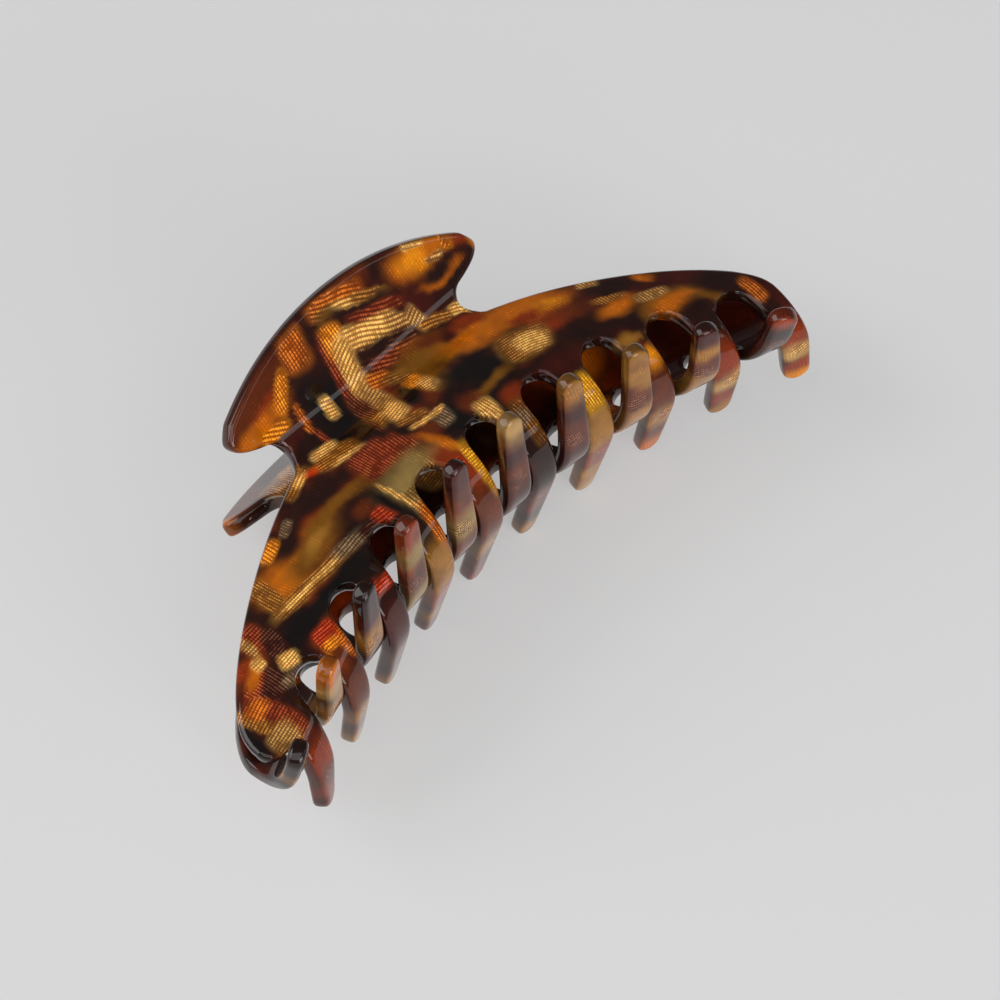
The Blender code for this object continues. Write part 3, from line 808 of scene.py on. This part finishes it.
    (19.7, 23.4, 1.8, 3.2, -4, "yellow", "cross"),
    (29.6, 20.7, 2.6, 0.8, 10, "ochre", None),
    (31.2, 25.5, 1.4, 1.8, 0, "orange", None),
    (42.2, 25.4, 2.2, 2.8, 0, "dark", None),
]

# Patches of the rear jaw's sheet, in its own x and u
REAR_PATCHES = [
    (-24.0, 25.0, 4.0, 5.0, 0, "amber", "long"),
    (-35.0, 22.0, 5.0, 8.0, 0, "wine", None),
    (-46.0, 25.0, 5.0, 8.0, 0, "wine", None),
    (-13.0, 19.0, 4.0, 4.0, 0, "wine", None),
    (-2.0, 19.0, 3.0, 4.0, 0, "dark", "slant"),
    (9.0, 20.0, 4.0, 4.0, 0, "black", None),
    (20.0, 20.0, 4.0, 4.0, 0, "wine", None),
    (31.0, 24.0, 4.0, 4.0, 0, "black", None),
    (42.0, 28.0, 4.0, 4.0, 0, "wine", None),
    (-20.0, -5.0, 7.0, 3.0, -8, "brown", None),
    (22.0, -5.0, 5.0, 2.2, 10, "brown", None),
    (25.2, -4.4, 2.2, 1.0, 0, "amber", None),
    (-8.0, -5.0, 5.0, 2.5, 20, "amber", "slant"),
    (4.0, -6.0, 4.0, 2.0, -10, "rust", None),
    (14.0, -3.0, 4.0, 1.8, 10, "ochre", "cross"),
    (-18.0, -4.0, 4.0, 1.6, -10, "tan", "long"),
    (-3.0, 8.0, 5.0, 2.6, 30, "tan", "long"),
    (-5.0, 3.0, 4.0, 1.8, 10, "straw", "slant"),
    (8.0, 5.0, 4.0, 2.4, -20, "olive", None),
    (21.0, 9.0, 5.0, 2.4, 20, "amber", None),
    (15.0, 12.0, 3.4, 3.0, 0, "wine", None),
    (-17.5, 11.0, 4.0, 3.0, -30, "wine", None),
    (-29.0, 13.0, 4.0, 3.2, 20, "amber", None),
    (-28.0, 11.5, 2.4, 1.4, 20, "ochre", "cross"),
    (-7.0, 11.5, 3.4, 3.0, 0, "dark", None),
    (6.0, 12.0, 3.0, 2.2, 0, "black", None),
    (-22.0, 16.0, 4.0, 1.8, 0, "black", None),
    (30.0, 13.0, 3.0, 2.4, -20, "tan", "level"),
    (26.0, 17.0, 3.4, 1.6, 10, "rust", None),
    (-38.0, 15.0, 4.0, 2.0, 30, "rust", None),
    (41.0, 19.0, 3.4, 2.6, -30, "amber", "cross"),
    (49.0, 25.0, 2.2, 3.0, 10, "rust", "slant"),
    (-51.8, 24.0, 2.4, 4.0, 0, "wine", None),
]

# Tones down each tooth, in order of x: its root, its middle and its tip
FRONT_TEETH = (("rust", "brown", "rust"), ("brown", "ochre", "tan"), ("wine", "brown", "ochre"),
               ("ochre", "rust", "brown"), ("brown", "ochre", "rust"), ("dark", "brown", "ochre"),
               ("ochre", "rust", "tan"), ("brown", "ochre", "amber"), ("rust", "tan", "ochre"),
               ("rust", "tan", "orange"))
REAR_TEETH = (("dark", "wine", "rust"), ("ochre", "brown", "wine"), ("ochre", "brown", "ochre"),
              ("wine", "brown", "ochre"), ("wine", "brown", "tan"), ("brown", "khaki", "wine"),
              ("khaki", "brown", "rust"), ("wine", "ochre", "dark"), ("tan", "ochre", "amber"),
              ("dark", "ochre", "dark"))


def linear(tone):
    values = np.array(TONES[tone]) / 255.0
    return BRIGHTEN * np.where(values < 0.04045, values / 12.92, ((values + 0.055) / 1.055) ** 2.4)


def field(x, u, scale, seed):
    """Smooth noise over the flat sheet."""
    return np.array([noise.noise((a * scale, b * scale, seed)) for a, b in zip(x, u)])


def tooth_patches(rows):
    """Bands of tone across each tooth, with a woven patch on the middle one."""
    patches = []
    for index, (root_tone, middle_tone, tip_tone) in enumerate(rows):
        centre = tooth_centre(index)
        root = gap_apex(centre) + GAP_RADIUS
        length = tooth_end(centre) - root
        weave = "level" if index % 3 else "slant"
        turn = 14 if index % 2 else -18
        bands = ((0.0, 0.40, BAND_HALF, 0.20, 0, root_tone, None),
                 (0.0, 0.60, BAND_HALF, 0.09, turn, middle_tone, None),
                 (0.6, 0.58, 1.6, 0.05, turn, middle_tone, weave),
                 (0.0, 0.78, BAND_HALF, 0.07, -turn, root_tone, None),
                 (0.0, 0.97, BAND_HALF, 0.12, turn, tip_tone, None))
        for aside, part, half_x, half_part, band_turn, tone, woven in bands:
            patches.append((centre + aside, root + part * length, half_x, half_part * length,
                            band_turn, tone, woven))
    return patches


def smooth_step(value):
    t = np.clip(value, 0.0, 1.0)
    return t * t * (3 - 2 * t)


def paint_sheet(mesh, patches):
    """Colour and brocade of each vertex, worked out in the flat sheet."""
    count = len(mesh.vertices)
    sheet = np.zeros(count * 3)
    mesh.attributes["sheet"].data.foreach_get("vector", sheet)
    x, u = sheet.reshape(-1, 3).T[:2]
    swell_x = 0.9 * field(x, u, 0.22, 1.7) + 0.30 * field(x, u, 0.8, 5.1)
    swell_u = 0.9 * field(x, u, 0.22, 9.3) + 0.30 * field(x, u, 0.8, 3.9)

    large = field(x, u, 0.11, 20.5) + 0.5 * field(x, u, 0.3, 33.5)
    colour = np.tile(linear("dark"), (count, 1))
    for tone, low, high in (("wine", -0.05, 0.15), ("brown", 0.15, 0.35), ("rust", 0.4, 0.6)):
        weight = smooth_step((large - low) / (high - low))[:, None]
        colour = colour * (1 - weight) + linear(tone) * weight

    woven = np.zeros((count, len(WEAVES)))
    for place_x, place_u, half_x, half_u, turn, tone, weave in patches:
        angle = math.radians(turn)
        power, soft, wander = PLAIN_EDGE if weave is None else WOVEN_EDGE
        dx = x + wander * swell_x - place_x
        du = u + wander * swell_u - place_u
        a = np.abs(dx * math.cos(angle) + du * math.sin(angle)) / half_x
        b = np.abs(-dx * math.sin(angle) + du * math.cos(angle)) / half_u
        radius = (a ** power + b ** power) ** (1 / power)
        weight = smooth_step((1 + soft - radius) / (2 * soft))[:, None]
        colour += weight * (linear(tone) - colour)
        woven += weight * (np.array([float(weave == name) for name in WEAVES]) - woven)

    layer = mesh.attributes.new("tone", "FLOAT_COLOR", "POINT")
    layer.data.foreach_set("color", np.column_stack([colour, np.ones(count)]).ravel())
    layer = mesh.attributes.new("weave", "FLOAT_COLOR", "POINT")
    layer.data.foreach_set("color", woven.ravel())


# ---------------------------------------------------------------- node helpers

class Nodes:
    """Short hand for building a material's nodes."""

    def __init__(self, name):
        self.material = bpy.data.materials.new(name)
        self.material.use_nodes = True
        self.tree = self.material.node_tree
        self.shader = self.tree.nodes["Principled BSDF"]

    def node(self, kind, settings=(), **values):
        made = self.tree.nodes.new(kind)
        for key, value in dict(settings).items():
            setattr(made, key, value)
        for key, value in values.items():
            self.put(made.inputs[key.replace("_", " ")], value)
        return made

    def put(self, socket, value):
        if isinstance(value, bpy.types.NodeSocket):
            self.tree.links.new(value, socket)
        else:
            socket.default_value = value

    def math(self, operation, *values):
        made = self.tree.nodes.new("ShaderNodeMath")
        made.operation = operation
        for socket, value in zip(made.inputs, values):
            self.put(socket, value)
        return made.outputs[0]

    def mix(self, factor, first, second, blend="MIX"):
        made = self.tree.nodes.new("ShaderNodeMix")
        made.data_type = "RGBA"
        made.blend_type = blend
        self.put(made.inputs[0], factor)
        self.put(made.inputs[6], first)
        self.put(made.inputs[7], second)
        return made.outputs[2]

    def ramp(self, value, low, high, to_low=0.0, to_high=1.0):
        made = self.tree.nodes.new("ShaderNodeMapRange")
        made.interpolation_type = "SMOOTHSTEP"
        for socket, number in zip(made.inputs, (value, low, high, to_low, to_high)):
            self.put(socket, number)
        return made.outputs[0]

    def noise(self, vector, scale, detail=2.0):
        made = self.node("ShaderNodeTexNoise", Vector=vector, Scale=scale, Detail=detail)
        return made.outputs["Fac"]


def acetate_material():
    """Polished acetate: soft tortoiseshell blotches with golden brocade under the gloss, with painted highlights
    on the brocade and painted shade on the rounded edges.
    """
    n = Nodes("tortoiseshell acetate")
    tone = n.node("ShaderNodeAttribute", {"attribute_name": "tone"}).outputs["Color"]
    sheet = n.node("ShaderNodeAttribute", {"attribute_name": "sheet"}).outputs["Vector"]
    rim = n.node("ShaderNodeAttribute", {"attribute_name": "rim"}).outputs["Fac"]
    weave = n.node("ShaderNodeAttribute", {"attribute_name": "weave"})
    layers = n.node("ShaderNodeSeparateColor", Color=weave.outputs["Color"])

    # Weights of the four woven layers, frayed at their edges
    frayed = n.math("MULTIPLY_ADD", n.noise(sheet, 1.3, 2.0), 1.2, -0.6)
    weights = [n.ramp(n.math("ADD", weight, n.math("MULTIPLY", frayed, 0.5)), 0.25, 0.75)
               for weight in (*layers.outputs, weave.outputs["Alpha"])]

    # The threads sway a little
    place = n.node("ShaderNodeSeparateXYZ", Vector=sheet)
    x, u = place.outputs["X"], place.outputs["Y"]
    bend = n.math("SUBTRACT", n.noise(sheet, 0.12, 0.0), 0.5)
    ripple = n.math("SUBTRACT", n.noise(sheet, 0.9, 0.0), 0.5)
    sway = n.math("ADD", n.math("MULTIPLY", bend, 1.6), n.math("MULTIPLY", ripple, 0.05))

    def wave(value, period):
        turned = n.math("SINE", n.math("MULTIPLY", value, 2 * math.pi / period))
        return n.math("MULTIPLY_ADD", turned, 0.5, 0.5)

    def threads(direction, seed):
        """Brightness of one woven layer's threads, with random knots painted brighter as highlights."""
        cos, sin = math.cos(math.radians(direction)), math.sin(math.radians(direction))
        along = n.math("ADD", n.math("MULTIPLY", x, cos), n.math("MULTIPLY", u, sin))
        across = n.math("SUBTRACT", n.math("MULTIPLY", u, cos), n.math("MULTIPLY", x, sin))
        across = n.math("ADD", across, sway)
        weft = n.math("POWER", wave(across, THREAD_PITCH), 2.0)
        warp = n.math("MULTIPLY_ADD", wave(along, KNOT_PITCH), 0.85, 0.15)
        cell = n.node("ShaderNodeCombineXYZ", X=n.math("DIVIDE", along, KNOT_PITCH),
                      Y=n.math("DIVIDE", across, THREAD_PITCH), Z=seed)
        whole = n.node("ShaderNodeVectorMath", {"operation": "FLOOR"}, Vector=cell.outputs[0])
        # Painted highlight: a random brightness for each knot, so that some knots look as if they caught the light
        spark = n.node("ShaderNodeTexWhiteNoise", Vector=whole.outputs[0]).outputs["Value"]
        painted_glint = n.math("MULTIPLY_ADD", n.math("POWER", spark, 2.0), 1.9, 0.45)
        return n.math("MULTIPLY", n.math("MULTIPLY", weft, warp), painted_glint)

    threads_and_glints = 0.0
    woven = 0.0
    for direction, weight in zip(WEAVES.values(), weights):
        threads_and_glints = n.math("MULTIPLY_ADD", threads(direction, direction), weight, threads_and_glints)
        woven = n.math("ADD", weight, woven)
    # Painted highlight: a slow noise makes the gold threads bright in some places and faint in others, as if they
    # caught the light there; the mask below carries this, with the painted knots, into colour, metal, roughness
    # and relief
    painted_sheen = n.ramp(n.noise(sheet, 0.50, 3.0), 0.34, 0.64, 0.25, 2.00)
    gold_and_painted_light = n.math("MINIMUM", n.math("MULTIPLY", threads_and_glints, painted_sheen), 1.0)

    # Ground: cloudy tones with a faint lace, darker under the woven layers
    cloud = n.noise(sheet, 0.28, 4.0)
    mottled = n.mix(n.ramp(cloud, 0.40, 0.75, 0.0, 0.5), tone,
                    n.mix(1.0, tone, (0.40, 0.28, 0.22, 1.0), "MULTIPLY"))
    faint = n.math("MULTIPLY", threads(80.0, 3.0), n.ramp(n.noise(sheet, 0.25, 2.0), 0.46, 0.62))
    laced = n.mix(n.math("MULTIPLY", faint, 0.5), mottled,
                  n.mix(1.0, mottled, (2.4, 2.1, 1.6, 1.0), "MULTIPLY"))
    ground = n.mix(n.math("MINIMUM", n.math("MULTIPLY", woven, 0.85), 0.85), laced,
                   n.mix(1.0, tone, (0.40, 0.26, 0.13, 1.0), "MULTIPLY"))

    # Gold threads over the ground, and painted shade that darkens the rounded rim along the sheet's edge towards
    # black
    bright = n.mix(0.10, n.mix(1.0, tone, (3.0, 2.6, 2.2, 1.0), "MULTIPLY"),
                   (1.0, 0.78, 0.42, 1.0))
    colour = n.mix(gold_and_painted_light, ground, bright)
    rim_with_painted_shade = n.mix(n.math("MULTIPLY", n.ramp(rim, 0.55, 1.0), 0.62), colour,
                     (0.010, 0.004, 0.003, 1.0))
    n.put(n.shader.inputs["Base Color"], rim_with_painted_shade)
    n.put(n.shader.inputs["Metallic"], n.math("MULTIPLY", gold_and_painted_light, 0.45))
    n.put(n.shader.inputs["Roughness"], n.math("MULTIPLY_ADD", gold_and_painted_light, -0.12, 0.42))
    relief = n.node("ShaderNodeBump", Height=gold_and_painted_light, Strength=0.4, Distance=0.0002)
    n.put(n.shader.inputs["Normal"], relief.outputs[0])
    n.shader.inputs["IOR"].default_value = 1.49
    n.shader.inputs["Specular IOR Level"].default_value = 0.05
    n.shader.inputs["Coat Weight"].default_value = 1.0
    n.shader.inputs["Coat Roughness"].default_value = 0.035
    n.shader.inputs["Coat IOR"].default_value = 1.5
    return n.material


def metal_material(name, colour, roughness, grain):
    """Drawn or stamped steel: fine streaks, small dents and dull spots."""
    n = Nodes(name)
    place = n.node("ShaderNodeTexCoord").outputs["Object"]
    streaks = n.node("ShaderNodeMapping", Vector=place)
    streaks.inputs["Scale"].default_value = grain
    fine = n.noise(streaks.outputs[0], 900.0, 3.0)
    patchy = n.noise(place, 260.0, 4.0)
    dull = tuple(c * 0.55 for c in colour)
    n.put(n.shader.inputs["Base Color"],
          n.mix(n.ramp(patchy, 0.35, 0.75, 0.0, 0.6), (*colour, 1.0), (*dull, 1.0)))
    wear = n.math("MULTIPLY_ADD", fine, 0.16, roughness - 0.05)
    n.put(n.shader.inputs["Roughness"], wear)
    relief = n.node("ShaderNodeBump", Height=fine, Strength=0.18, Distance=0.0001)
    n.put(n.shader.inputs["Normal"], relief.outputs[0])
    n.shader.inputs["Metallic"].default_value = 1.0
    return n.material


# ---------------------------------------------------------------- pieces

def make_spring():
    """Torsion spring: a leg under each tab and the coil round the pin."""
    half = COIL_TURNS * COIL_PITCH / 2
    flat = math.hypot(1.0, TAB_SLOPE)
    leg_z = TAB_PLANE_Z - TAB_SLOPE * SPRING_LEG_U - HINGE_STACK * flat
    leg_y = -SPRING_LEG_U
    reach = math.hypot(leg_y, leg_z)
    tangent = math.atan2(leg_z, leg_y) + math.acos(COIL_RADIUS / reach)
    total = COIL_TURNS * 2 * math.pi + 2 * tangent
    count = round(total / (2 * math.pi) * COIL_STEPS)
    coil = []
    for k in range(count + 1):
        angle = tangent - total * k / count
        x = -half + 2 * half * k / count
        coil.append(Vector((x, COIL_RADIUS * math.cos(angle), COIL_RADIUS * math.sin(angle))))
    first = Vector((-half, leg_y, leg_z))
    last = Vector((half, leg_y, -leg_z))
    points = [first.lerp(coil[0], k / LEG_STEPS) for k in range(LEG_STEPS)] + coil
    points += [coil[-1].lerp(last, k / LEG_STEPS) for k in range(1, LEG_STEPS + 1)]
    curve = bpy.data.curves.new("spring_wire", "CURVE")
    curve.dimensions = "3D"
    curve.bevel_depth = WIRE_RADIUS * MM
    curve.bevel_resolution = 4
    curve.use_fill_caps = True
    spline = curve.splines.new("POLY")
    spline.points.add(len(points) - 1)
    for slot, point in zip(spline.points, points):
        slot.co = (*(point * MM), 1.0)
    wire = bpy.data.objects.new("spring_wire", curve)
    bpy.context.scene.collection.objects.link(wire)
    graph = bpy.context.evaluated_depsgraph_get()
    mesh = bpy.data.meshes.new_from_object(wire.evaluated_get(graph))
    bpy.data.objects.remove(wire)
    mesh.transform(CLIP)
    mesh.shade_smooth()
    spring = bpy.data.objects.new("coil_spring", mesh)
    bpy.context.scene.collection.objects.link(spring)
    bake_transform(spring)
    return spring


def soft_edges(piece):
    """Round the sharp edges a little, so that they catch the light."""
    bevel = piece.modifiers.new("soft edges", "BEVEL")
    bevel.width = EDGE_BREAK * MM
    bevel.segments = 2
    bevel.limit_method = "ANGLE"
    bevel.angle_limit = math.radians(40)
    bevel.harden_normals = True


def finish_piece(piece, material, slot, *nodes):
    piece.data.materials.clear()
    piece.data.materials.append(material)
    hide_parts(*nodes)


def build_clip():
    acetate = acetate_material()
    for side, place, patches in (
            ("front", CLIP, FRONT_PATCHES + tooth_patches(FRONT_TEETH)),
            ("rear", CLIP @ HALF_TURN, REAR_PATCHES + tooth_patches(REAR_TEETH))):
        jaw = fine_jaw(side + "_jaw_acetate", patches)
        jaw.data.transform(place)
        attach(jaw, side + "_side")
        finish_piece(jaw, acetate, "tortoiseshell_acetate", side + "_jaw")

    stamped = metal_material("stamped steel", (0.58, 0.56, 0.53), 0.34, (1.0, 0.12, 1.0))
    polished = metal_material("polished steel", (0.74, 0.72, 0.70), 0.22, (1.0, 1.0, 1.0))
    drawn = metal_material("spring wire", (0.50, 0.49, 0.47), 0.26, (1.0, 1.0, 1.0))
    finish_piece(make_spring(), drawn, "spring_wire", "torsion_spring")
    for name, node in frame["nodes"].items():
        if name.endswith("leaf"):
            node.data.materials.clear()
            node.data.materials.append(stamped)
            soft_edges(node)
        elif name.endswith("tack") or name == "hinge_pin":
            node.data.materials.clear()
            node.data.materials.append(polished)


# ---------------------------------------------------------------- stage, lights, camera

def camera_axes():
    """Right, up, forward and place of the camera, in the world."""
    sin_turn, cos_turn = math.sin(CAMERA_TURN), math.cos(CAMERA_TURN)
    sin_tilt, cos_tilt = math.sin(CAMERA_TILT), math.cos(CAMERA_TILT)
    along = Vector((cos_turn, sin_turn, 0.0))
    teeth = Vector((sin_turn * cos_tilt, -cos_turn * cos_tilt, -sin_tilt))
    outward = teeth.cross(along)
    if outward.z < 0:
        outward = -outward
    right = Vector((1.0, 0.0, 0.0))
    sin_elevation, cos_elevation = math.sin(CAMERA_ELEVATION), math.cos(CAMERA_ELEVATION)
    forward = Vector((0.0, cos_elevation, -sin_elevation))
    up = Vector((0.0, sin_elevation, cos_elevation))
    place = CAMERA_RIGHT * right - CAMERA_DOWN * up - CAMERA_DISTANCE * forward

    def to_world(vector):
        local = Vector((vector.dot(along), -vector.dot(teeth), vector.dot(outward)))
        return CLIP.to_3x3() @ local

    location = CLIP.translation + to_world(place) * MM
    return to_world(right), to_world(up), to_world(forward), location


def add_camera():
    right, up, forward, location = camera_axes()
    data = bpy.data.cameras.new("camera")
    data.lens = CAMERA_LENS
    data.sensor_width = CAMERA_SENSOR
    data.clip_start = 0.01
    data.clip_end = 20.0
    camera = bpy.data.objects.new("camera", data)
    bpy.context.scene.collection.objects.link(camera)
    turn = Matrix((right, up, -forward)).transposed()
    camera.matrix_world = Matrix.Translation(location) @ turn.to_4x4()
    bpy.context.scene.camera = camera


def add_light(name, place, target, size, power):
    data = bpy.data.lights.new(name, "AREA")
    data.shape = "RECTANGLE"
    data.size, data.size_y = size
    data.energy = power
    light = bpy.data.objects.new(name, data)
    bpy.context.scene.collection.objects.link(light)
    light.location = place
    light.rotation_euler = (target - place).to_track_quat("-Z", "Y").to_euler()


def add_stage():
    bm = bmesh.new()
    bmesh.ops.create_grid(bm, x_segments=1, y_segments=1, size=FLOOR_REACH)
    mesh = bpy.data.meshes.new("floor")
    bm.to_mesh(mesh)
    bm.free()
    floor = bpy.data.objects.new("floor", mesh)
    floor.location = (0.0, 0.0, -FLOOR_DROP)
    bpy.context.scene.collection.objects.link(floor)
    n = Nodes("pale floor")
    place = n.node("ShaderNodeTexCoord").outputs["Object"]
    soft = n.noise(place, 3.0, 2.0)
    n.put(n.shader.inputs["Base Color"], n.mix(soft, *FLOOR_GREYS))
    n.shader.inputs["Emission Color"].default_value = (1.0, 1.0, 1.0, 1.0)
    n.shader.inputs["Emission Strength"].default_value = FLOOR_GLOW
    n.shader.inputs["Roughness"].default_value = 0.9
    n.shader.inputs["Specular IOR Level"].default_value = 0.1
    floor.data.materials.append(n.material)


def add_lights():
    target = (cad_low + cad_high) / 2
    for name, direction, distance, size, power in LIGHTS:
        place = target + Vector(direction).normalized() * distance
        add_light(name, place, target, size, power)
    world = bpy.data.worlds.new("studio")
    world.use_nodes = True
    background = world.node_tree.nodes["Background"]
    background.inputs["Color"].default_value = WORLD_COLOUR
    background.inputs["Strength"].default_value = WORLD_STRENGTH
    bpy.context.scene.world = world


def main():
    build_clip()
    add_stage()
    add_camera()
    add_lights()
    bpy.context.scene.view_settings.view_transform = "Standard"


main()
